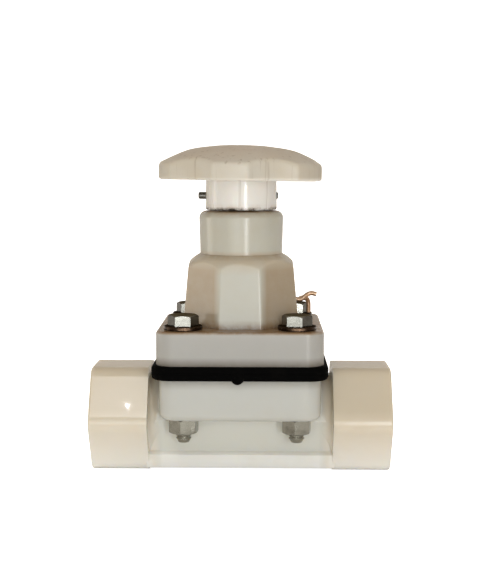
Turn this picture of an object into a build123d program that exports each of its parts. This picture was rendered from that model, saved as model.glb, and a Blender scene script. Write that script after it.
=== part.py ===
from build123d import *
import os
from math import cos, radians, sin, sqrt, tan

# Diaphragm valve, 1 in screwed ends, hand operated, shown closed.
# Millimetres. +Z up, X along the flow, Y away from the viewer.
# Origin: centre of the foot print, on the ground plane.
# Heights below are from a datum plane through the foot; every piece is raised by datum_z as it is saved.
datum_z = 0.8

# ---- body ----
axis_z = 21.2              # pipe axis
face_to_face = 127.0
half_length = face_to_face / 2
hex_flats = 44.0           # end sockets, across flats
socket_in_x = 38.9         # inner face of each socket
socket_edge = 0.9          # rounding of the socket's faces
socket_corner = 6.5        # rounding of the hexagon's corners
run_top_r = 16.0
run_top_half_angle = 62.0  # the round top of the run, each way from upright
run_side_y = 16.4
waist_y = 13.0
foot_y = 15.2
foot_step_z = -13.4        # from the pipe axis
foot_ledge = 1.2
foot_base_z = 1.0
run_flare = 4.5
body_flange = 66.5
flange_corner = 7.5
body_flange_z = 24.4
body_flange_round = 3.0
clamp_low_z = 41.6         # body top face
bore_r = 12.5
bore_end_x = 26.0
port_r = 11.0
port_top = (12.5, 37.0)    # x and z where the side passage meets the bowl
bowl_r = 22.0              # at the clamp face
bowl_depth = 14.0
bowl_sphere = (bowl_r**2 + bowl_depth**2) / (2 * bowl_depth)
bowl_centre_z = clamp_low_z - bowl_depth + bowl_sphere

# ---- 1 in BSP female thread, as rings ----
thread_minor_r = 15.145
thread_major_r = 16.62
thread_pitch = 2.309
thread_land = 0.385
thread_turns = 7
socket_bore_end_x = 39.5   # plain bore behind the last turn
mouth_r = 17.3
mouth_chamfer = 1.6

# ---- diaphragm ----
rubber_width = 72.5
rubber_corner = 8.0
rubber_edge = 0.5          # small chamfer along the top
clamp_high_z = 47.5        # bonnet underside
web_gap = 0.1              # between the dome and the bowl
web_thick = 3.8
tab_x = -0.8
tab_r = 2.7
tab_drop = 1.2
tab_thick = 3.0

# ---- bonnet ----
bonnet_flange = 68.8
bonnet_flange_top = 61.4
bonnet_edge = 1.2
tower_flats_low = 49.0
tower_flats_high = 43.6
tower_face_share = 0.365   # a front face's share of the width across flats
shoulder_z = 91.5
tower_corner_round = 1.6
shoulder_start = (24.9, 83.2)  # radius and height where the shoulder's curve leaves the taper
shoulder_middle = (21.2, 88.9)
taper_foot_r = 30.0        # the turned outline's radius at the flange, clear of the tower
shoulder_round = 2.0
neck_low_r = 17.45
neck_high_r = 17.95
neck_top_z = 109.5
neck_round = 3.0
chamber_r = 20.0
chamber_top = 65.5
chamber_lead = 1.5         # opening out at the underside
slot_r = 21.2
slot_width = 6.6
well_r = 13.5
well_top = 80.0
bush_r = 9.0
bush_top = 98.0
stem_bore_r = 5.3
relief_r = 6.4             # room for the thread above the bush
relief_top = 104.0
seal_z = 107.0
seal_section = 1.35
seal_groove_half = 1.45
seal_inner_r = 5.06

# ---- spindle ----
thread_r = 6.0
thread_root_r = 4.9
spindle_pitch = 3.0
thread_low = 65.5
thread_high = 92.5
stem_r = 5.0
stem_top = 122.5
stem_edge = 0.8
foot_r = 5.9
foot_low = 52.6
groove_low = 56.5
groove_high = 59.7
groove_r = 3.5
bush_clear = 0.08
bush_grooves = 4
bush_groove_pitch = 3.6
bush_groove_wide = 1.2
bush_groove_deep = 0.5

# ---- compressor ----
press_gap = 0.3
compressor_r = 17.5
compressor_deck = 54.0
boss_r = 10.5
boss_top = 63.0
lug_r = 20.7
lug_width = 6.0
lug_low = 48.2
foot_socket_r = 6.2
pin_clear = 0.02
keeper_r = 1.5
keeper_x = 5.05
keeper_z = 58.1
keeper_half = 9.6
keeper_edge = 0.3
thrust_thick = 1.4
thrust_play = 0.05
thrust_edge = 0.2
thrust_r = 5.8
stud_r = 3.0
stud_root_r = 2.5
stud_pitch = 1.0
stud_neck = 2.0            # plain length above the head
stud_head_r = 5.5
stud_head_edge = 0.6
stud_head_low = 29.3
stud_head_high = 30.8
stud_top = 43.0

# ---- handwheel ----
hub_low_r = 15.2
hub_high_r = 15.05
hub_low_z = 109.95
rim_low_z = 122.4
rim_r = 35.5
scallop_r = 27.7
scallop_bottom = 31.6
lobe_corner = 2.6
crown_round = 2.4          # where the crown meets the side
lobe_angle = -96.5         # one lobe's centre, seen from above
crown_tilt = 0.9           # the crown sits slightly out of true on its hub
lobes = 6
dome = [(rim_r, 129.6), (32.9, 130.6), (29.5, 132.2), (26.2, 133.7), (22.8, 135.0), (15.2, 136.4)]
dome_top = 137.3
shell = 3.6
rim_wall = 3.4
rim_round = 1.2            # lower edge
rib_width = 3.0
rib_rise = 2.2             # the ribs' lower edge above the rim's
hub_edge = 0.4
cross_r = 1.5
cross_z = 115.9
cross_left = -18.3
cross_right = 15.8
cross_round = 0.7

# ---- fasteners, 1/4 in ----
bolt_pitch = 46.85
shank_r = 3.175
shank_root_r = 2.72
nut_hole_r = 3.2
bolt_pitch_z = 1.27
bolt_tip = 14.3
thread_bolt_top = 31.0
head_flats = 11.11
head_high = 4.5
hex_chamfer = 30.0         # of the corners of heads and nuts
washer_r = 7.95
washer_hole_r = 3.4
washer_thick = 1.6
washer_round = 0.3
nut_high = 6.2
bolt_hole_r = 3.4
facet_angles = {"front_left": 1.5, "front_right": -12.0, "rear_left": -7.5, "rear_right": 5.7}
nut_angles = {"front_left": 21.9, "front_right": 22.6, "rear_left": 8.0, "rear_right": 19.0}
corner_signs = {"front_left": (-1, -1), "front_right": (1, -1), "rear_left": (-1, 1), "rear_right": (1, 1)}

# ---- tag wire ----
wire_r = 1.0
wire_bend = 0.45           # how much of each straight run a bend may take
# up beside the head, over it, round behind it, across its front and out to a free end
wire_bends = [(6.2, -4.6, -0.6), (6.2, -4.6, 5.2), (3.4, 5.4, 5.1), (1.2, 8.6, 3.0), (-2.5, 8.4, 0.5),
              (-6.2, 5.6, 0.1), (-8.4, 0.6, 2.6), (-6.2, -5.2, 5.8), (-1.2, -7.6, 6.2), (2.6, -7.8, 5.2),
              (5.0, -7.8, 7.4), (7.2, -7.6, 8.5), (9.5, -7.4, 7.8)]

os.makedirs("parts", exist_ok=True)


def finish(builder, name):
    piece = builder.part.moved(Location((0, 0, datum_z)))
    piece.label = name
    export_step(piece, "parts/" + name + ".step")


def ring_thread(low, high, pitch, crest_r, root_r):
    """Outline points (radius, height) of a ring-cut thread between two heights."""
    points = [(root_r, low)]
    turns = int((high - low) / pitch)
    flank = 0.3 * pitch
    for turn in range(turns):
        base = low + turn * pitch
        points += [(root_r, base + 0.2 * pitch), (crest_r, base + 0.2 * pitch + flank)]
        points += [(crest_r, base + 0.4 * pitch + flank), (root_r, base + 0.4 * pitch + 2 * flank)]
    if high - points[-1][1] > 0.01:
        points.append((root_r, high))
    return points


bolt_at = {name: (sx * bolt_pitch / 2, sy * bolt_pitch / 2) for name, (sx, sy) in corner_signs.items()}
bolt_points = list(bolt_at.values())

# ================= valve body =================
with BuildPart() as body:
    with BuildSketch(Plane.XY.offset(body_flange_z)):
        RectangleRounded(body_flange, body_flange, flange_corner)
    extrude(amount=clamp_low_z - body_flange_z)
    fillet(body.faces().sort_by(Axis.Z)[0].edges(), radius=body_flange_round)
    # run between the sockets, with its foot
    with BuildSketch(Plane.YZ.offset(-socket_in_x - 1)):
        with BuildLine():
            top_y = run_top_r * sin(radians(run_top_half_angle))
            top_z = run_top_r * cos(radians(run_top_half_angle))
            right = [(top_y, axis_z + top_z), (run_side_y, axis_z), (waist_y, axis_z + foot_step_z),
                     (foot_y, axis_z + foot_step_z - foot_ledge), (foot_y, foot_base_z)]
            Polyline(*right)
            Polyline(*[(-y, z) for y, z in right])
            Line((foot_y, foot_base_z), (-foot_y, foot_base_z))
            ThreePointArc((top_y, axis_z + top_z), (0, axis_z + run_top_r), (-top_y, axis_z + top_z))
        make_face()
    extrude(amount=2 * (socket_in_x + 1))
    # end sockets
    for side in (-1, 1):
        with BuildSketch(Plane.YZ.offset(side * socket_in_x)):
            with Locations((0, axis_z)):
                socket = RegularPolygon(hex_flats / 2, 6, major_radius=False)
            fillet(socket.vertices(), radius=socket_corner)
        extrude(amount=side * (half_length - socket_in_x))
        # flare from the run into the socket
        with BuildSketch(Plane.XZ):
            with BuildLine():
                flare_x = side * (socket_in_x + 0.2)
                start_x = side * (socket_in_x - run_flare)
                Line((start_x, axis_z + run_top_r - 0.05), (start_x, axis_z))
                Line((start_x, axis_z), (flare_x, axis_z))
                Line((flare_x, axis_z), (flare_x, axis_z + run_top_r + run_flare))
                ThreePointArc((flare_x, axis_z + run_top_r + run_flare),
                              (side * (socket_in_x - run_flare * 0.3), axis_z + run_top_r + run_flare * 0.3),
                              (start_x, axis_z + run_top_r - 0.05))
            make_face()
        revolve(axis=Axis((0, 0, axis_z), (1, 0, 0)))
    ends = body.edges().filter_by(lambda e: abs(abs(e.center().X) - half_length) < 0.01)
    fillet(ends, radius=socket_edge)
    # bowl over the weir
    with Locations((0, 0, bowl_centre_z)):
        Sphere(bowl_sphere, mode=Mode.SUBTRACT)
    # flow passages
    for side in (-1, 1):
        with Locations(Location((side * bore_end_x, 0, axis_z), (0, side * 90, 0))):
            Cylinder(bore_r, half_length - bore_end_x + 1, mode=Mode.SUBTRACT,
                     align=(Align.CENTER, Align.CENTER, Align.MIN))
            Sphere(bore_r, mode=Mode.SUBTRACT)
        rise = Plane(origin=(side * bore_end_x, 0, axis_z),
                     z_dir=(side * (port_top[0] - bore_end_x), 0, port_top[1] - axis_z))
        with BuildSketch(rise):
            Circle(port_r)
        extrude(amount=sqrt((port_top[0] - bore_end_x) ** 2 + (port_top[1] - axis_z) ** 2),
                mode=Mode.SUBTRACT)
        # threaded socket
        with BuildSketch(Plane.XZ):
            with BuildLine():
                outline = [(half_length + 1, 0), (half_length + 1, mouth_r), (half_length, mouth_r),
                           (half_length - mouth_chamfer, thread_minor_r)]
                flank = thread_pitch / 2 - thread_land
                cut_x = half_length - mouth_chamfer - thread_land
                for turn in range(thread_turns):
                    outline += [(cut_x, thread_minor_r), (cut_x - flank, thread_major_r)]
                    outline += [(cut_x - flank - thread_land, thread_major_r),
                                (cut_x - 2 * flank - thread_land, thread_minor_r)]
                    cut_x -= thread_pitch
                outline += [(socket_bore_end_x, thread_minor_r), (socket_bore_end_x, 0)]
                Polyline(*[(side * x, axis_z + r) for x, r in outline], close=True)
            make_face()
        revolve(axis=Axis((0, 0, axis_z), (1, 0, 0)), mode=Mode.SUBTRACT)
    with Locations(*[(x, y, clamp_low_z) for x, y in bolt_points]):
        Hole(bolt_hole_r, depth=clamp_low_z - body_flange_z + 1)
finish(body, "valve_body")

# ================= diaphragm =================
with BuildPart() as diaphragm:
    with BuildSketch(Plane.XY.offset(clamp_low_z)):
        RectangleRounded(rubber_width, rubber_width, rubber_corner)
    extrude(amount=clamp_high_z - clamp_low_z)
    chamfer(diaphragm.faces().sort_by(Axis.Z)[-1].edges(), length=rubber_edge)
    outer_r = bowl_sphere - web_gap
    inner_r = outer_r - web_thick
    with BuildSketch(Plane.XZ):
        with BuildLine():
            edge_r = sqrt(outer_r**2 - (bowl_centre_z - clamp_low_z) ** 2)
            Line((0, clamp_high_z - 1), (0, bowl_centre_z - outer_r))
            RadiusArc((0, bowl_centre_z - outer_r), (edge_r, clamp_low_z), -outer_r)
            Line((edge_r, clamp_low_z), (edge_r, clamp_high_z - 1))
            Line((edge_r, clamp_high_z - 1), (0, clamp_high_z - 1))
        make_face()
    revolve(axis=Axis.Z)
    with Locations((0, 0, bowl_centre_z)):
        Sphere(inner_r, mode=Mode.SUBTRACT)
    with Locations(*[(x, y, clamp_high_z) for x, y in bolt_points]):
        Hole(bolt_hole_r, depth=clamp_high_z - clamp_low_z + 1)
    # room for the moulded-in stud
    with BuildSketch(Plane.XZ):
        Polygon((0, stud_head_low), (stud_head_r - stud_head_edge, stud_head_low),
                (stud_head_r, stud_head_high), (stud_r, stud_head_high),
                (stud_r, stud_head_high + stud_neck), (0, stud_head_high + stud_neck), align=None)
    revolve(axis=Axis.Z, mode=Mode.SUBTRACT)
    # tab below the front edge
    with BuildSketch(Plane.XZ.offset(rubber_width / 2 - tab_thick)):
        with Locations((tab_x, clamp_low_z + tab_r - tab_drop)):
            Circle(tab_r)
    extrude(amount=tab_thick)
finish(diaphragm, "diaphragm")

# ================= bonnet =================
with BuildPart() as tower:
    for level, flats in ((bonnet_flange_top - 1, tower_flats_low), (shoulder_z, tower_flats_high)):
        with BuildSketch(Plane.XY.offset(level)):
            base = Rectangle(flats, flats)
            chamfer(base.vertices(), length=flats * (1 - tower_face_share) / 2)
    loft()
    rising = [e for e in tower.edges() if e.bounding_box().size.Z > 10]
    fillet(rising, radius=tower_corner_round)
    # rounded shoulder
    with BuildSketch(Plane.XZ):
        with BuildLine():
            Line((0, bonnet_flange_top - 1), (taper_foot_r, bonnet_flange_top - 1))
            Line((taper_foot_r, bonnet_flange_top - 1), shoulder_start)
            ThreePointArc(shoulder_start, shoulder_middle, (neck_low_r - 0.2, shoulder_z))
            Line((neck_low_r - 0.2, shoulder_z), (0, shoulder_z))
            Line((0, shoulder_z), (0, bonnet_flange_top - 1))
        make_face()
    revolve(axis=Axis.Z, mode=Mode.INTERSECT)
    arcs = tower.edges().filter_by(lambda e: e.bounding_box().min.Z > shoulder_start[1] - 3
                                   and e.bounding_box().max.Z < shoulder_z - 1)
    fillet(arcs, radius=shoulder_round)

with BuildPart() as bonnet:
    with BuildSketch(Plane.XY.offset(clamp_high_z)):
        RectangleRounded(bonnet_flange, bonnet_flange, flange_corner)
    extrude(amount=bonnet_flange_top - clamp_high_z)
    fillet(bonnet.faces().sort_by(Axis.Z)[-1].edges(), radius=bonnet_edge)
    add(tower.part)
    with BuildSketch(Plane.XZ):
        with BuildLine():
            Line((0, shoulder_z - 4), (neck_low_r, shoulder_z - 4))
            Line((neck_low_r, shoulder_z - 4), (neck_high_r, neck_top_z - neck_round))
            RadiusArc((neck_high_r, neck_top_z - neck_round), (neck_high_r - neck_round, neck_top_z),
                      -neck_round)
            Line((neck_high_r - neck_round, neck_top_z), (0, neck_top_z))
            Line((0, neck_top_z), (0, shoulder_z - 4))
        make_face()
    revolve(axis=Axis.Z)
    # chamber, well, bush seat, seal groove and stem bore
    with BuildSketch(Plane.XZ):
        with BuildLine():
            Polyline((0, clamp_high_z - 1), (chamber_r + chamber_lead, clamp_high_z - 1),
                     (chamber_r + chamber_lead, clamp_high_z), (chamber_r, clamp_high_z + 2),
                     (chamber_r, chamber_top), (well_r, chamber_top + 3),
                     (well_r, well_top), (bush_r, well_top), (bush_r, bush_top), (relief_r, bush_top),
                     (relief_r, relief_top), (stem_bore_r, relief_top),
                     (stem_bore_r, seal_z - seal_groove_half),
                     (seal_inner_r + 2 * seal_section, seal_z - seal_groove_half),
                     (seal_inner_r + 2 * seal_section, seal_z + seal_groove_half),
                     (stem_bore_r, seal_z + seal_groove_half), (stem_bore_r, neck_top_z + 1),
                     (0, neck_top_z + 1), close=True)
        make_face()
    revolve(axis=Axis.Z, mode=Mode.SUBTRACT)
    # guide slots for the compressor's lugs
    with BuildSketch(Plane.XY.offset(clamp_high_z)):
        Rectangle(2 * slot_r, slot_width)
    extrude(amount=chamber_top - clamp_high_z, mode=Mode.SUBTRACT)
    with Locations(*[(x, y, bonnet_flange_top) for x, y in bolt_points]):
        Hole(bolt_hole_r, depth=bonnet_flange_top - clamp_high_z + 1)
finish(bonnet, "bonnet")

# ================= compressor =================
with BuildPart() as compressor:
    dome_r = bowl_sphere - web_gap - web_thick - press_gap
    rim_z = bowl_centre_z - sqrt(dome_r**2 - compressor_r**2)
    with BuildSketch(Plane.XZ):
        with BuildLine():
            RadiusArc((0, bowl_centre_z - dome_r), (compressor_r, rim_z), -dome_r)
            Polyline((compressor_r, rim_z), (compressor_r, compressor_deck), (boss_r + 1, compressor_deck),
                     (boss_r, boss_top), (0, boss_top), (0, bowl_centre_z - dome_r))
        make_face()
    revolve(axis=Axis.Z)
    with BuildSketch(Plane.XY.offset(lug_low)):
        Rectangle(2 * lug_r, lug_width)
    extrude(amount=compressor_deck - lug_low)
    # socket for the spindle's foot
    with Locations((0, 0, boss_top)):
        Hole(foot_socket_r, depth=boss_top - foot_low + thrust_thick)
    # stud hole from below
    with BuildSketch(Plane.XY.offset(stud_head_high)):
        Circle(stud_r)
    extrude(amount=stud_top - stud_head_high, mode=Mode.SUBTRACT)
    # keeper pin holes
    for side in (-1, 1):
        with Locations(Location((side * keeper_x, 0, keeper_z), (90, 0, 0))):
            Cylinder(keeper_r + pin_clear, 2 * boss_r + 4, mode=Mode.SUBTRACT)
finish(compressor, "compressor")

for side, name in ((-1, "compressor_pin_left"), (1, "compressor_pin_right")):
    with BuildPart() as keeper:
        with Locations(Location((side * keeper_x, 0, keeper_z), (90, 0, 0))):
            Cylinder(keeper_r, 2 * keeper_half)
        chamfer(keeper.edges().filter_by(GeomType.CIRCLE), length=keeper_edge)
    finish(keeper, name)

with BuildPart() as thrust:
    with BuildSketch(Plane.XY.offset(foot_low - thrust_thick)):
        Circle(thrust_r)
    extrude(amount=thrust_thick - thrust_play)
    chamfer(thrust.edges().filter_by(GeomType.CIRCLE), length=thrust_edge)
finish(thrust, "thrust_washer")

with BuildPart() as stud:
    with BuildSketch(Plane.XZ):
        with BuildLine():
            outline = ring_thread(stud_head_high + stud_neck, stud_top - 0.6 * stud_pitch, stud_pitch,
                                  stud_r, stud_root_r)
            Polyline((0, stud_head_low), (stud_head_r - stud_head_edge, stud_head_low),
                     (stud_head_r, stud_head_high), (stud_r, stud_head_high),
                     (stud_r, stud_head_high + stud_neck - 0.4 * stud_pitch), *outline,
                     (stud_r - 1.2 * stud_pitch, stud_top), (0, stud_top), close=True)
        make_face()
    revolve(axis=Axis.Z)
finish(stud, "diaphragm_stud")

# ================= spindle, bush and seal =================
with BuildPart() as spindle:
    with BuildSketch(Plane.XZ):
        with BuildLine():
            outline = ring_thread(thread_low, thread_high, spindle_pitch, thread_r, thread_root_r)
            Polyline((0, foot_low), (foot_r - stem_edge, foot_low), (foot_r, foot_low + stem_edge),
                     (foot_r, groove_low),
                     (groove_r, groove_low), (groove_r, groove_high), (foot_r, groove_high),
                     (foot_r, thread_low - 1), (thread_root_r, thread_low - 0.4), *outline,
                     (stem_r, thread_high + 0.6), (stem_r, stem_top - stem_edge),
                     (stem_r - stem_edge, stem_top),
                     (0, stem_top), close=True)
        make_face()
    revolve(axis=Axis.Z)
    with Locations(Location((0, 0, cross_z), (0, 90, 0))):
        Cylinder(cross_r + pin_clear, 4 * stem_r, mode=Mode.SUBTRACT)
finish(spindle, "spindle")

with BuildPart() as bush:
    with BuildSketch(Plane.XY.offset(well_top)):
        Circle(bush_r)
        Circle(thread_r + bush_clear, mode=Mode.SUBTRACT)
    extrude(amount=bush_top - well_top)
    chamfer(bush.edges().filter_by(GeomType.CIRCLE).group_by(Axis.Z)[0], length=0.6)
    for groove in range(bush_grooves):
        with BuildSketch(Plane.XY.offset(well_top + 3 + bush_groove_pitch * groove)):
            Circle(bush_r + 1)
            Circle(bush_r - bush_groove_deep, mode=Mode.SUBTRACT)
        extrude(amount=bush_groove_wide, mode=Mode.SUBTRACT)
finish(bush, "spindle_bush")

with BuildPart() as seal:
    with Locations((0, 0, seal_z)):
        Torus(seal_inner_r + seal_section, seal_section)
finish(seal, "spindle_seal")

# ================= handwheel =================
with BuildPart() as crown:
    with BuildSketch(Plane.XZ):
        with BuildLine():
            Polyline((0, rim_low_z), (rim_r, rim_low_z), dome[0])
            Spline(dome[0], *dome[1:], (0, dome_top), tangents=[(-0.6, 0.21), (-1, 0)])
            Line((0, dome_top), (0, rim_low_z))
        make_face()
    revolve(axis=Axis.Z)
    with BuildSketch(Plane.XY.offset(rim_low_z - 1)) as lobed:
        Circle(rim_r)
        with PolarLocations(scallop_bottom + scallop_r, lobes, start_angle=lobe_angle + 180 / lobes):
            Circle(scallop_r, mode=Mode.SUBTRACT)
        fillet(lobed.vertices(), radius=lobe_corner)
    extrude(amount=dome_top - rim_low_z + 2, mode=Mode.INTERSECT)
    crown_edges = crown.faces().sort_by(Axis.Z)[-1].edges()
    fillet(crown_edges.filter_by(lambda e: e.bounding_box().max.Z < dome_top - 1), radius=crown_round)
    fillet(crown.faces().sort_by(Axis.Z)[0].edges(), radius=rim_round)
    # hollow underside
    with BuildSketch(Plane.XZ):
        with BuildLine():
            inner = [(r - 1.6, z - shell) for r, z in dome[1:]]
            Polyline((0, rim_low_z - 1), (scallop_bottom - rim_wall, rim_low_z - 1),
                     (scallop_bottom - rim_wall, inner[1][1]), *inner[2:], (0, dome_top - shell),
                     (0, rim_low_z - 1), close=True)
        make_face()
    revolve(axis=Axis.Z, mode=Mode.SUBTRACT)
    # ribs
    with PolarLocations(0, lobes, start_angle=lobe_angle + 180 / lobes):
        with BuildSketch(Plane.XZ):
            Polygon((hub_high_r - 2, rim_low_z + rib_rise), (scallop_bottom - 2, rim_low_z + rib_rise),
                    (scallop_bottom - 2, dome[1][1] - 2), (hub_high_r - 2, dome[4][1] - 2), align=None)
        extrude(amount=rib_width / 2, both=True)

with BuildPart() as wheel:
    add(crown.part.rotate(Axis((0, 0, rim_low_z), (0, 1, 0)), crown_tilt))
    # hub
    with BuildSketch(Plane.XZ):
        with BuildLine():
            Polyline((0, hub_low_z), (hub_low_r - hub_edge, hub_low_z), (hub_low_r, hub_low_z + hub_edge),
                     (hub_high_r, rim_low_z), (hub_high_r, dome[5][1] - 1), (0, dome[5][1] - 1), close=True)
        make_face()
    revolve(axis=Axis.Z)
    with BuildSketch(Plane.XY.offset(hub_low_z - 1)):
        Circle(stem_r + pin_clear)
    extrude(amount=stem_top - hub_low_z + 1.5, mode=Mode.SUBTRACT)
    with Locations(Location((0, 0, cross_z), (0, 90, 0))):
        Cylinder(cross_r + pin_clear, 4 * hub_low_r, mode=Mode.SUBTRACT)
finish(wheel, "handwheel")

with BuildPart() as cross:
    with Locations(Location(((cross_left + cross_right) / 2, 0, cross_z), (0, 90, 0))):
        Cylinder(cross_r, cross_right - cross_left)
    fillet(cross.edges().filter_by(GeomType.CIRCLE), radius=cross_round)
finish(cross, "handwheel_pin")

# ================= fasteners =================
seat_z = bonnet_flange_top + washer_thick
head_top = seat_z + head_high
corner = head_flats / sqrt(3)
slope = (corner - head_flats / 2 + 0.25) * tan(radians(hex_chamfer))
nut_low = body_flange_z - nut_high
for name, (bolt_x, bolt_y) in bolt_at.items():
    with BuildPart() as bolt:
        with BuildSketch(Plane.XY.offset(seat_z)):
            RegularPolygon(head_flats / 2, 6, major_radius=False, rotation=facet_angles[name])
        extrude(amount=head_high)
        with BuildSketch(Plane.XZ):
            Polygon((0, seat_z), (corner + 0.1, seat_z), (corner + 0.1, head_top - slope),
                    (head_flats / 2 - 0.15, head_top), (0, head_top), align=None)
        revolve(axis=Axis.Z, mode=Mode.INTERSECT)
        with BuildSketch(Plane.XZ):
            with BuildLine():
                outline = ring_thread(bolt_tip + 0.9, thread_bolt_top, bolt_pitch_z, shank_r, shank_root_r)
                Polyline((0, bolt_tip), (shank_root_r - 0.5, bolt_tip), *outline,
                         (shank_r, thread_bolt_top + 0.6), (shank_r, seat_z), (0, seat_z), close=True)
            make_face()
        revolve(axis=Axis.Z)
    bolt.part.position = (bolt_x, bolt_y, 0)
    finish(bolt, "bolt_" + name)

    with BuildPart() as washer:
        with BuildSketch(Plane.XY.offset(bonnet_flange_top)):
            with Locations((bolt_x, bolt_y)):
                Circle(washer_r)
                Circle(washer_hole_r, mode=Mode.SUBTRACT)
        extrude(amount=washer_thick)
        fillet(washer.edges().filter_by(GeomType.CIRCLE).sort_by(SortBy.RADIUS)[-2:], radius=washer_round)
    finish(washer, "washer_" + name)

    with BuildPart() as nut:
        with BuildSketch(Plane.XY.offset(nut_low)):
            RegularPolygon(head_flats / 2, 6, major_radius=False, rotation=nut_angles[name])
        extrude(amount=nut_high)
        with BuildSketch(Plane.XZ):
            Polygon((nut_hole_r, nut_low + 0.5), (nut_hole_r + 0.5, nut_low), (head_flats / 2 - 0.1, nut_low),
                    (corner + 0.1, nut_low + slope), (corner + 0.1, body_flange_z - slope),
                    (head_flats / 2 - 0.1, body_flange_z), (nut_hole_r, body_flange_z), align=None)
        revolve(axis=Axis.Z, mode=Mode.INTERSECT)
    nut.part.position = (bolt_x, bolt_y, 0)
    finish(nut, "nut_" + name)

# ================= tag wire =================
wire_z = seat_z + wire_r + 0.05
wire_x, wire_y = bolt_at["rear_right"]
wire_points = [(wire_x + dx, wire_y + dy, wire_z + dz) for dx, dy, dz in wire_bends]
wire_radii = []
for before, corner_point, after in zip(wire_points, wire_points[1:], wire_points[2:]):
    run_in = Vector(*corner_point) - Vector(*before)
    run_out = Vector(*after) - Vector(*corner_point)
    turn = radians(run_in.get_angle(run_out))
    wire_radii.append(wire_bend * min(run_in.length, run_out.length) / tan(turn / 2))
with BuildPart() as wire:
    with BuildLine() as wire_path:
        FilletPolyline(*wire_points, radius=wire_radii)
    with BuildSketch(Plane(origin=wire_path.line @ 0, z_dir=wire_path.line % 0)):
        Circle(wire_r)
    sweep(path=wire_path.line)
finish(wire, "tag_wire")
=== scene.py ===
import math

import bmesh
import bpy
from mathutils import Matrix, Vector


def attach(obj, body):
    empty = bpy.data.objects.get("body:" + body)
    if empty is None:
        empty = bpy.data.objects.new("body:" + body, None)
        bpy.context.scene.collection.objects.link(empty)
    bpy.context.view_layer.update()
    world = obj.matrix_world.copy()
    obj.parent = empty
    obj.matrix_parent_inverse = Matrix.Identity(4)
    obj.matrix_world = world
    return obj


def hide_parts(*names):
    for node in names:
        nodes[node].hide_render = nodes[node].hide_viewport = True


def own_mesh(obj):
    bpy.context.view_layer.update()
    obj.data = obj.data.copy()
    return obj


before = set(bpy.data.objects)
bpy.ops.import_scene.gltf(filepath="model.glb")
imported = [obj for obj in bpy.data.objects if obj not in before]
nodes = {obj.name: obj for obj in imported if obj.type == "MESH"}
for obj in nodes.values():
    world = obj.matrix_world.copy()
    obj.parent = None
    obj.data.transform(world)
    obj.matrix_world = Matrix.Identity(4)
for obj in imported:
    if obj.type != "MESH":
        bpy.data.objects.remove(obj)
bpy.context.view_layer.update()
MM = 0.001


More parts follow.
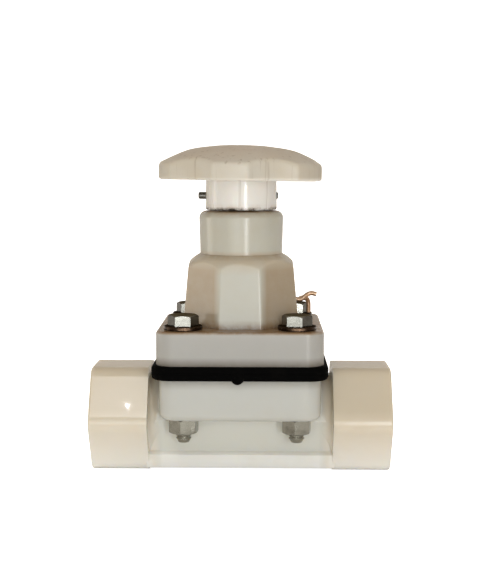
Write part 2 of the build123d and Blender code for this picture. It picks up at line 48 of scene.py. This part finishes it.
# ---------------------------------------------------------------- node helpers
class Graph:
    """A material's node tree, with short calls for the nodes used here."""

    def __init__(self, name):
        self.material = bpy.data.materials.new(name)
        self.material.use_nodes = True
        self.tree = self.material.node_tree
        self.tree.nodes.clear()
        self.shader = self.add("ShaderNodeBsdfPrincipled")
        output = self.add("ShaderNodeOutputMaterial")
        self.link(self.shader.outputs[0], output.inputs["Surface"])
        self.place = self.add("ShaderNodeTexCoord").outputs["Object"]

    def add(self, kind, **values):
        node = self.tree.nodes.new(kind)
        for key, value in values.items():
            setattr(node, key, value)
        return node

    def link(self, source, target):
        self.tree.links.new(source, target)

    def stretch(self, scale, turn=(0, 0, 0)):
        """Object coordinates scaled on each axis."""
        node = self.add("ShaderNodeMapping")
        node.inputs["Scale"].default_value = scale
        node.inputs["Rotation"].default_value = turn
        self.link(self.place, node.inputs["Vector"])
        return node.outputs[0]

    def noise(self, scale, detail=3.0, rough=0.5, place=None, distort=0.0):
        node = self.add("ShaderNodeTexNoise")
        node.inputs["Scale"].default_value = scale
        node.inputs["Detail"].default_value = detail
        node.inputs["Roughness"].default_value = rough
        node.inputs["Distortion"].default_value = distort
        self.link(place or self.place, node.inputs["Vector"])
        return node.outputs[0]

    def cells(self, scale):
        node = self.add("ShaderNodeTexVoronoi")
        node.inputs["Scale"].default_value = scale
        self.link(self.place, node.inputs["Vector"])
        return node.outputs["Distance"]

    def ramp(self, source, stops):
        """stops is a list of (position, value or colour)."""
        node = self.add("ShaderNodeValToRGB")
        ramp = node.color_ramp
        while len(ramp.elements) < len(stops):
            ramp.elements.new(0.5)
        for element, (at, value) in zip(ramp.elements, stops):
            element.position = at
            element.color = tuple(value) + (1,) if hasattr(value, "__len__") else (value,) * 3 + (1,)
        self.link(source, node.inputs[0])
        return node.outputs[0]

    def mix(self, amount, first, second):
        node = self.add("ShaderNodeMix", data_type="RGBA")
        for socket, value in ((node.inputs[0], amount), (node.inputs[6], first), (node.inputs[7], second)):
            if hasattr(value, "links"):
                self.link(value, socket)
            elif hasattr(value, "__len__"):
                socket.default_value = tuple(value) + (1,)
            else:
                socket.default_value = value
        return node.outputs[2]

    def height(self, axis="Z"):
        """The object's own coordinate along one axis, in metres."""
        node = self.add("ShaderNodeSeparateXYZ")
        self.link(self.place, node.inputs[0])
        return node.outputs[axis]

    def upward(self, low=0.75, high=0.97):
        """1 on faces that look up, 0 on the others."""
        node = self.add("ShaderNodeSeparateXYZ")
        self.link(self.add("ShaderNodeNewGeometry").outputs["Normal"], node.inputs[0])
        return self.between(node.outputs["Z"], low, high)

    def math(self, operation, *values):
        node = self.add("ShaderNodeMath", operation=operation)
        for socket, value in zip(node.inputs, values):
            if hasattr(value, "links"):
                self.link(value, socket)
            else:
                socket.default_value = value
        return node.outputs[0]

    def between(self, source, low, high, to_low=0.0, to_high=1.0):
        node = self.add("ShaderNodeMapRange")
        for index, value in enumerate((low, high, to_low, to_high), start=1):
            node.inputs[index].default_value = value
        self.link(source, node.inputs[0])
        return node.outputs[0]

    def bump(self, source, strength, distance, normal=None):
        node = self.add("ShaderNodeBump")
        node.inputs["Strength"].default_value = strength
        node.inputs["Distance"].default_value = distance
        self.link(source, node.inputs["Height"])
        if normal:
            self.link(normal, node.inputs["Normal"])
        return node.outputs[0]

    def set(self, **values):
        for key, value in values.items():
            socket = self.shader.inputs[key.replace("_", " ")]
            if hasattr(value, "links"):
                self.link(value, socket)
            elif hasattr(value, "__len__") and len(value) == 3 and socket.type == "RGBA":
                socket.default_value = tuple(value) + (1,)
            else:
                socket.default_value = value


def linear(red, green, blue):
    """A screen colour, 0 to 255, as linear light."""
    return tuple((c / 255 / 12.92) if c <= 10 else ((c / 255 + 0.055) / 1.055) ** 2.4
                 for c in (red, green, blue))


# ---------------------------------------------------------------- materials
def milky(name, pale, warm, cool, grain=1.0, zones=(), dust=0.3, rough=(0.2, 0.262),
          dull=(200, 201), streaks=0.0, coat=0.0):
    """Natural polypropylene: cloudy, a little see-through, with flow marks, scuffs and specks.

    zones is a list of (limits, tint, amount, ragged). Each limit is (axis, none, full), in millimetres
    from the middle: the tint fades in from the first distance to the second, and ragged breaks it up.
    dust is how much grime, and painted shade, lies on the faces that look up, darkening them brown.
    Above the heights in dull, in millimetres, the gloss is gone. streaks is how strongly thin upright
    marks show, and coat is how much polish lies on top.
    """
    g = Graph(name)
    cloud = g.noise(22, 4, 0.55, distort=0.6)
    flow = g.noise(60, 4, 0.6, place=g.stretch((0.35, 1.0, 1.6)))
    base = g.mix(g.ramp(cloud, [(0.35, 0.0), (0.68, 1.0)]), pale, warm)
    base = g.mix(g.ramp(flow, [(0.35, 0.0), (0.95, 0.5)]), base, cool)
    patchy = g.noise(160, 5, 0.7)
    for limits, tint, amount, ragged in zones:
        share = g.between(patchy, 0.4, 0.6, 1.0 - ragged, 1.0)
        for axis, none, full in limits:
            away = g.math("ABSOLUTE", g.height(axis))
            share = g.math("MULTIPLY", share, g.between(away, none * MM, full * MM))
        base = g.mix(g.math("MULTIPLY", share, amount), base, tint)
    specks = g.ramp(g.cells(900), [(0.0, 0.5), (0.055, 0.0)])
    base = g.mix(specks, base, linear(150, 132, 104))
    grime = g.noise(9, 6, 0.7)
    base = g.mix(g.ramp(grime, [(0.56, 0.0), (0.82, 0.22)]), base, linear(176, 158, 124))
    upright = g.noise(420, 3, 0.6, place=g.stretch((1.0, 1.0, 0.03)))
    base = g.mix(g.ramp(upright, [(0.6, 0.0), (0.7, streaks)]), base, linear(138, 120, 98))
    # faces that look up are darkened brown: dust, and painted shade where little light falls from above
    dust_and_top_shade = g.math("MULTIPLY", g.upward(), g.between(g.noise(45, 6, 0.7), 0.38, 0.62, 0.25 * dust, dust))
    base = g.mix(dust_and_top_shade, base, linear(120, 92, 58))
    scratches = g.noise(900, 2, 0.6, place=g.stretch((0.04, 1.0, 1.0), (0.2, 0.4, 0.5)))
    cross = g.noise(700, 2, 0.6, place=g.stretch((1.0, 0.05, 1.0), (0.7, 0.1, 0.9)))
    fine = g.noise(2600, 3, 0.6)
    normal = g.bump(cloud, 0.25 * grain, 0.0008)
    normal = g.bump(g.ramp(scratches, [(0.58, 0.0), (0.72, 1.0)]), 0.22 * grain, 0.00006, normal)
    normal = g.bump(g.ramp(cross, [(0.6, 0.0), (0.72, 1.0)]), 0.2 * grain, 0.00006, normal)
    normal = g.bump(fine, 0.18 * grain, 0.00004, normal)
    gloss = g.ramp(flow, [(0.3, rough[0]), (0.7, rough[1])])
    worn = g.between(g.height("Z"), dull[0] * MM, dull[1] * MM)
    g.set(Base_Color=base, Roughness=g.mix(worn, gloss, (0.46, 0.46, 0.46)), Normal=normal,
          Specular_IOR_Level=g.between(dust_and_top_shade, 0.0, 0.5, 0.5, 0.1), IOR=1.49,
          Coat_Weight=coat, Coat_Roughness=0.03,
          Subsurface_Weight=0.6, Subsurface_Radius=(1.0, 0.85, 0.65), Subsurface_Scale=0.006)
    return g.material


def rubber(name, wear=1.0):
    """Black rubber with a little dust in its grain."""
    g = Graph(name)
    dust = g.noise(120, 6, 0.7)
    base = g.mix(g.ramp(dust, [(0.5, 0.0), (0.8, 0.3 * wear)]),
                 (0.001, 0.001, 0.001), (0.01, 0.009, 0.008))
    fine = g.noise(3000, 3, 0.7)
    normal = g.bump(dust, 0.3, 0.0003, g.bump(fine, 0.4, 0.00005))
    g.set(Base_Color=base, Roughness=g.ramp(dust, [(0.3, 0.66), (0.75, 0.85)]), Normal=normal,
          Specular_IOR_Level=0.03)
    return g.material


def steel(name, base, tint, rough=(0.24, 0.44), stain=0.35, top_grease_and_shade=(0.022, 0.013, 0.006),
          shank=None):
    """Plated or turned steel with mottling, stains and fine tool marks.

    grease is the colour of the grime and painted shade on faces that look up, shank the colour of the ends
    low down.
    """
    g = Graph(name)
    mottled = g.noise(420, 5, 0.65)
    patches = g.noise(130, 4, 0.6, distort=0.8)
    colour = g.mix(g.ramp(mottled, [(0.35, 0.0), (0.7, 0.6)]), base, tuple(c * 0.72 for c in base))
    colour = g.mix(g.ramp(patches, [(0.52, 0.0), (0.75, stain)]), colour, tint)
    if shank:
        colour = g.mix(g.between(g.height("Z"), 30 * MM, 40 * MM, 0.85, 0.0), colour, shank)
    marks = g.noise(2200, 2, 0.5, place=g.stretch((1.0, 1.0, 0.08)))
    worn_edge = g.add("ShaderNodeBevel", samples=4)
    worn_edge.inputs["Radius"].default_value = 0.25 * MM
    normal = g.bump(marks, 0.2, 0.00003, worn_edge.outputs[0])
    normal = g.bump(mottled, 0.25, 0.00008, normal)
    # painted shade: faces that look up lose their metal shine and are darkened, partly grime and partly a
    # painted dark reflection
    top = g.upward(0.6, 0.95)
    colour = g.mix(g.math("MULTIPLY", top, 0.9), colour, top_grease_and_shade)
    g.set(Base_Color=colour, Metallic=g.between(top, 0.0, 0.7, 1.0, 0.0), Normal=normal,
          Specular_IOR_Level=g.between(top, 0.0, 0.7, 0.4, 0.0),
          Roughness=g.mix(top, g.ramp(mottled, [(0.3, rough[0]), (0.72, rough[1])]), (0.75, 0.75, 0.75)))
    return g.material


def wire_metal(name):
    """Copper-coloured wire, tarnished in patches."""
    g = Graph(name)
    patina = g.noise(260, 5, 0.6, distort=0.5)
    colour = g.mix(g.ramp(patina, [(0.35, 0.0), (0.7, 1.0)]), linear(214, 190, 166), linear(176, 136, 100))
    dark = g.noise(700, 3, 0.6)
    colour = g.mix(g.ramp(dark, [(0.6, 0.0), (0.76, 0.6)]), colour, linear(84, 56, 40))
    drawn = g.noise(1600, 2, 0.5, place=g.stretch((1.0, 0.15, 0.15)))
    g.set(Base_Color=colour, Metallic=0.9, Roughness=g.ramp(patina, [(0.3, 0.3), (0.7, 0.52)]),
          Normal=g.bump(drawn, 0.3, 0.00005))
    return g.material


# brown for grime and painted shade on the bonnet flange's top
flange_top_dirt_and_shade = linear(128, 98, 62)
# near black for a painted shadow in the gap under the hub
hub_gap_shadow = linear(30, 22, 14)
body_zones = [
    ([("X", 37, 33)], linear(194, 198, 196), 0.9, 0.0),
    # painted shade: the upper part of the sockets is tinted darker and browner
    ([("X", 34, 38), ("Z", 21, 28)], linear(206, 197, 178), 0.9, 0.0),
    # painted light: the lower half of the middle part is lightened, as by light from below
    ([("X", 37, 33), ("Z", 24.5, 22)], linear(222, 223, 216), 0.9, 0.0),
    # painted light: the bottom strip of the middle part is lightened further
    ([("X", 37, 33), ("Z", 9.5, 8)], linear(243, 243, 239), 0.9, 0.0),
    # painted light: the lower part of the sockets is lightened, as by light from below
    ([("X", 34, 38), ("Z", 22, 4)], linear(242, 240, 234), 0.9, 0.0),
    # painted shade: a darker band at the top of the middle part, just under the rubber
    ([("Z", 38.5, 42.4), ("X", 36, 33)], linear(150, 146, 136), 0.75, 0.15)]
body_plastic = milky("body_plastic", linear(226, 219, 204), linear(218, 207, 188),
                     linear(224, 221, 211), dust=0.1, coat=0.2, zones=body_zones)
bonnet_zones = [
    ([("Z", 64.5, 61.8)], linear(171, 171, 169), 0.9, 0.0),
    # painted shade: the bottom of the flange, next to the rubber, is darkened brown
    ([("Z", 52.0, 48.3)], linear(96, 84, 68), 0.85, 0.1),
    # painted shade: the sides of the tower are tinted darker and browner than its front
    ([("X", 8.5, 11), ("Z", 90, 86), ("Z", 61, 63)], linear(172, 154, 130), 0.85, 0.1),
    # painted shade: a browner band on the shoulder at the foot of the neck
    ([("Z", 84, 91), ("Z", 94, 92.5)], linear(190, 174, 150), 0.7, 0.3),
    # grime and painted shade: the top of the flange round the foot of the tower is darkened brown
    ([("Z", 61.0, 62.0), ("Z", 66, 62.5)], flange_top_dirt_and_shade, 0.8, 0.5),
    # painted shade: the top of the neck, under the hub, is tinted brown in patches
    ([("Z", 107.5, 110)], linear(176, 152, 122), 0.7, 0.8)]
bonnet_plastic = milky("bonnet_plastic", linear(196, 198, 191), linear(189, 186, 172),
                       linear(196, 198, 194), dust=0.9, zones=bonnet_zones)
wheel_zones = [
    ([("Z", 124.5, 122.5)], linear(250, 247, 243), 0.9, 0.0),
    # painted shade: the hub's lower edge, above the gap over the neck, is tinted brown in patches
    ([("Z", 113.5, 110.8)], linear(196, 170, 142), 0.7, 1.0),
    # painted shadow: a near-black ragged line at the foot of the hub, in the gap
    ([("Z", 112.2, 111.3)], hub_gap_shadow, 0.95, 1.0),
    # painted shade: the crown of the wheel is tinted browner
    ([("Z", 131, 139)], linear(186, 164, 142), 0.55, 0.15)]
wheel_plastic = milky("wheel_plastic", linear(205, 201, 190), linear(195, 186, 168),
                      linear(208, 206, 199), 1.3, dust=0.05, rough=(0.16, 0.26), dull=(122.5, 124.5),
                      streaks=0.45, coat=0.06, zones=wheel_zones)
inner_plastic = milky("inner_plastic", linear(222, 218, 206), linear(208, 200, 182),
                      linear(222, 221, 213))
black_rubber = rubber("black_rubber")
seal_rubber = rubber("seal_rubber", 0.4)
nut_steel = steel("nut_steel", linear(155, 154, 144), linear(56, 48, 37), rough=(0.16, 0.3),
                  stain=0.5)
zinc_steel = steel("zinc_steel", linear(104, 103, 98), linear(60, 46, 30), rough=(0.14, 0.28),
                   top_grease_and_shade=linear(84, 76, 58), shank=linear(154, 152, 140))
washer_steel = steel("washer_steel", linear(66, 52, 41), linear(36, 22, 14), rough=(0.18, 0.34),
                     stain=0.7)
plain_steel = steel("plain_steel", linear(124, 124, 121), linear(74, 66, 54), stain=0.3)
turned_brass = steel("turned_brass", linear(214, 178, 112), linear(150, 108, 62), stain=0.5)
copper_wire = wire_metal("copper_wire")

finishes = {"valve_body": body_plastic, "bonnet": bonnet_plastic, "handwheel": wheel_plastic,
            "compressor": inner_plastic, "spindle": plain_steel, "spindle_bush": turned_brass,
            "spindle_seal": seal_rubber, "handwheel_pin": plain_steel, "tag_wire": copper_wire,
            "compressor_pin_left": plain_steel, "compressor_pin_right": plain_steel,
            "thrust_washer": zinc_steel, "diaphragm_stud": zinc_steel, "diaphragm": black_rubber}
for corner in ("front_left", "front_right", "rear_left", "rear_right"):
    finishes["bolt_" + corner] = zinc_steel
    finishes["nut_" + corner] = nut_steel
    finishes["washer_" + corner] = washer_steel
for name, material in finishes.items():
    for slot in nodes[name].material_slots:
        slot.link = "OBJECT"
        slot.material = material


# ---------------------------------------------------------------- mesh helpers
def write_mesh(build, name):
    """Closes a bmesh and returns it as a mesh."""
    mesh = bpy.data.meshes.new(name)
    build.to_mesh(mesh)
    build.free()
    return mesh


def new_piece(name, mesh, material):
    piece = bpy.data.objects.new(name, mesh)
    bpy.context.scene.collection.objects.link(piece)
    mesh.materials.append(material)
    for polygon in mesh.polygons:
        polygon.use_smooth = True
    return piece


def lathe(name, outline, material, steps=96):
    """Turns a closed outline of (radius, height) about Z."""
    build = bmesh.new()
    rings = []
    for radius, height in outline:
        if radius < 1e-7:
            rings.append([build.verts.new((0, 0, height))] * steps)
        else:
            rings.append([build.verts.new((radius * math.cos(math.tau * i / steps),
                                           radius * math.sin(math.tau * i / steps), height))
                          for i in range(steps)])
    for ring, after in zip(rings, rings[1:] + rings[:1]):
        for i in range(steps):
            corners = [ring[i], ring[(i + 1) % steps], after[(i + 1) % steps], after[i]]
            corners = list(dict.fromkeys(corners))
            if len(corners) > 2:
                build.faces.new(corners)
    bmesh.ops.recalc_face_normals(build, faces=build.faces)
    return new_piece(name, write_mesh(build, name), material)


# ---------------------------------------------------------------- diaphragm
rim_half, rim_corner, least_corner = 36.25 * MM, 8 * MM, 2 * MM
datum = 0.8 * MM
rim_low, rim_high = 41.6 * MM + datum, 47.5 * MM + datum
web_edge = 22.0 * MM
web_inner_edge = 19.9 * MM
dome_centre = 51.893 * MM + datum
dome_outer, dome_inner = 24.19 * MM, 20.39 * MM
tab_radius, tab_x, tab_z = 2.7, -0.8, 43.1
tab_layers = [(-33.4, 1.0), (-35.8, 1.0), (-36.12, 0.95), (-36.2, 0.84)]


def square_point(angle, half, corner):
    """A point on a rounded square's outline, in the direction of angle."""
    direction = Vector((math.cos(angle), math.sin(angle)))
    reach = 2 * half
    low_t, high_t = 0.0, reach
    for _ in range(40):
        middle = (low_t + high_t) / 2
        x = abs(direction.x) * middle - (half - corner)
        y = abs(direction.y) * middle - (half - corner)
        outside = math.hypot(max(x, 0), max(y, 0)) - corner
        if outside > 0:
            high_t = middle
        else:
            low_t = middle
    return direction * low_t


def make_rim():
    """The clamped square of rubber, with a rolled edge and a moulded line round its side."""
    thick = rim_high - rim_low
    # (distance in from the edge in mm, share of the thickness); the first and last are the inner edge
    section = [(-14.2, 0.0), (-2.4, 0.0), (-1.0, 0.02), (-0.35, 0.09), (-0.08, 0.2), (0.0, 0.34),
               (-0.05, 0.46), (-0.22, 0.49), (-0.22, 0.53), (-0.05, 0.56), (0.0, 0.68), (-0.08, 0.82),
               (-0.35, 0.92), (-1.0, 0.98), (-2.4, 1.0), (-14.2, 1.0)]
    steps = 288
    build = bmesh.new()
    loops = []
    for inset, share in section:
        ring = []
        for i in range(steps):
            angle = math.tau * i / steps
            if inset < -10:
                point = Vector((math.cos(angle), math.sin(angle))) * web_edge
            else:
                point = square_point(angle, rim_half + inset * MM,
                                     max(rim_corner + inset * MM, least_corner))
            ring.append(build.verts.new((point.x, point.y, rim_low + share * thick)))
        loops.append(ring)
    for ring, after in zip(loops, loops[1:] + loops[:1]):
        for i in range(steps):
            build.faces.new((ring[i], ring[(i + 1) % steps], after[(i + 1) % steps], after[i]))
    bmesh.ops.recalc_face_normals(build, faces=build.faces)
    return new_piece("diaphragm_rim", write_mesh(build, "diaphragm_rim"), black_rubber)


def make_web():
    """The domed middle of the rubber, which the compressor draws up."""
    arc_steps = 22
    outer_end = math.asin(web_edge / dome_outer) * 0.999
    inner_end = math.asin(web_inner_edge / dome_inner)
    outline = []
    for i in range(arc_steps + 1):
        angle = outer_end * i / arc_steps
        outline.append((dome_outer * math.sin(angle), dome_centre - dome_outer * math.cos(angle)))
    for i in range(arc_steps, -1, -1):
        angle = inner_end * i / arc_steps
        outline.append((dome_inner * math.sin(angle), dome_centre - dome_inner * math.cos(angle)))
    return lathe("diaphragm_web", outline, black_rubber)


def make_tab():
    """The small round tab at the front of the rubber's edge."""
    steps = 32
    circle = [(tab_radius * math.cos(math.tau * i / steps), tab_radius * math.sin(math.tau * i / steps))
              for i in range(steps)]
    build = bmesh.new()
    rings = [[build.verts.new(((tab_x + x * grow) * MM, depth * MM, (tab_z + z * grow) * MM + datum))
              for x, z in circle] for depth, grow in tab_layers]
    for ring, after in zip(rings, rings[1:]):
        for i in range(steps):
            build.faces.new((ring[i], ring[(i + 1) % steps], after[(i + 1) % steps], after[i]))
    build.faces.new(rings[0])
    build.faces.new(rings[-1])
    bmesh.ops.recalc_face_normals(build, faces=build.faces)
    return new_piece("diaphragm_tab", write_mesh(build, "diaphragm_tab"), black_rubber)


rim, web, tab = make_rim(), make_web(), make_tab()
for piece in (rim, web, tab):
    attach(piece, "housing")
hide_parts("diaphragm")
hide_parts("diaphragm")
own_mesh(web)

# ---------------------------------------------------------------- stage, light and camera
floor_material = Graph("floor")
paper = floor_material.noise(40, 4, 0.5)
floor_material.set(Base_Color=floor_material.mix(paper, (0.93, 0.93, 0.93), (0.96, 0.96, 0.955)),
                   Roughness=0.9, Emission_Color=(1.0, 1.0, 1.0), Emission_Strength=0.9)
# a flat floor that curves up behind the object, as (depth, height) in metres
sweep = [(-2.2, 0.0), (1.2, 0.0), (1.5, 0.04), (1.75, 0.16), (1.9, 0.4), (1.95, 0.8), (1.95, 3.0)]
build = bmesh.new()
near, far = [[build.verts.new((x, y, z)) for y, z in sweep] for x in (-3.0, 3.0)]
for i in range(len(sweep) - 1):
    build.faces.new((near[i], far[i], far[i + 1], near[i + 1]))
floor = new_piece("floor", write_mesh(build, "floor"), floor_material.material)
# the floor's own glow lights nothing else
lit_by_floor = bpy.data.collections.new("lit_by_floor")
lit_by_floor.objects.link(floor)
floor.light_linking.receiver_collection = lit_by_floor


def soft_light(name, place, aim, size, power, colour=(1, 1, 1)):
    data = bpy.data.lights.new(name, "AREA")
    data.shape = "RECTANGLE"
    data.size, data.size_y = size
    data.energy = power
    data.color = colour
    lamp = bpy.data.objects.new(name, data)
    lamp.location = place
    lamp.rotation_euler = (Vector(aim) - Vector(place)).to_track_quat("-Z", "Y").to_euler()
    bpy.context.scene.collection.objects.link(lamp)
    return lamp


centre = (0, 0, 0.06)
soft_light("front_window", (0.04, -0.95, 0.24), centre, (0.5, 0.45), 1.15, (0.96, 1.0, 0.99))
soft_light("front_card", (-0.17, -0.68, 0.05), (0, 0, 0.05), (0.34, 0.14), 0.4, (0.97, 1.0, 0.99))
soft_light("edge_strip", (0.18, -0.68, 0.12), (0, 0, 0.11), (0.02, 0.25), 1.1)
soft_light("spot", (-0.135, -0.55, 0.62), centre, (0.2, 0.2), 0.6)
soft_light("glint", (-0.141, -0.55, 0.628), centre, (0.004, 0.004), 0.02)
soft_light("left_card", (-0.55, 0.06, 0.08), (0, 0, 0.07), (0.2, 0.2), 0.3, (1.0, 0.93, 0.82))
# a low wide card that only the fasteners catch
steel_card = soft_light("steel_card", (0.1, -0.68, 0.0), (0, 0, 0.04), (0.95, 0.16), 7.5,
                        (0.97, 1.0, 1.0))
fastener_group = bpy.data.collections.new("fasteners")
for name, node in nodes.items():
    if name.startswith(("bolt_", "nut_", "washer_")):
        fastener_group.objects.link(node)
steel_card.light_linking.receiver_collection = fastener_group

world = bpy.data.worlds.new("studio")
world.use_nodes = True
sky_nodes, sky_links = world.node_tree.nodes, world.node_tree.links
direction = sky_nodes.new("ShaderNodeTexCoord")
parts = sky_nodes.new("ShaderNodeSeparateXYZ")
fade = sky_nodes.new("ShaderNodeValToRGB")
sky_links.new(direction.outputs["Generated"], parts.inputs[0])
sky_links.new(parts.outputs["Z"], fade.inputs[0])
sky_stops = [(0.0, (0.09, 0.075, 0.055)), (0.3, (0.18, 0.15, 0.11)),
             (0.6, (0.5, 0.425, 0.34)), (1.0, (0.62, 0.53, 0.43))]
while len(fade.color_ramp.elements) < len(sky_stops):
    fade.color_ramp.elements.new(0.5)
for element, (at, colour) in zip(fade.color_ramp.elements, sky_stops):
    element.position = at
    element.color = colour + (1,)
sky = sky_nodes["Background"]
# white paper behind the object, whichever side it is seen from
seen = sky_nodes.new("ShaderNodeLightPath")
backdrop = sky_nodes.new("ShaderNodeMix")
backdrop.data_type = "RGBA"
backdrop.inputs[7].default_value = (1.0, 1.0, 1.0, 1.0)
sky_links.new(seen.outputs["Is Camera Ray"], backdrop.inputs[0])
sky_links.new(fade.outputs[0], backdrop.inputs[6])
sky_links.new(backdrop.outputs[2], sky.inputs["Color"])
sky.inputs["Strength"].default_value = 1.0
bpy.context.scene.world = world
bpy.context.scene.view_settings.view_transform = "Standard"

camera_data = bpy.data.cameras.new("camera")
camera_data.lens = 75.1
camera_data.sensor_width = 36
camera_data.clip_start = 0.02
camera = bpy.data.objects.new("camera", camera_data)
camera.location = (0.0104, -0.5031, 0.1275)
yaw, pitch = math.radians(-1.27), math.radians(5.42)
forward = Vector((math.sin(yaw) * math.cos(pitch), math.cos(yaw) * math.cos(pitch), -math.sin(pitch)))
camera.rotation_euler = forward.to_track_quat("-Z", "Y").to_euler()
bpy.context.scene.collection.objects.link(camera)
bpy.context.scene.camera = camera
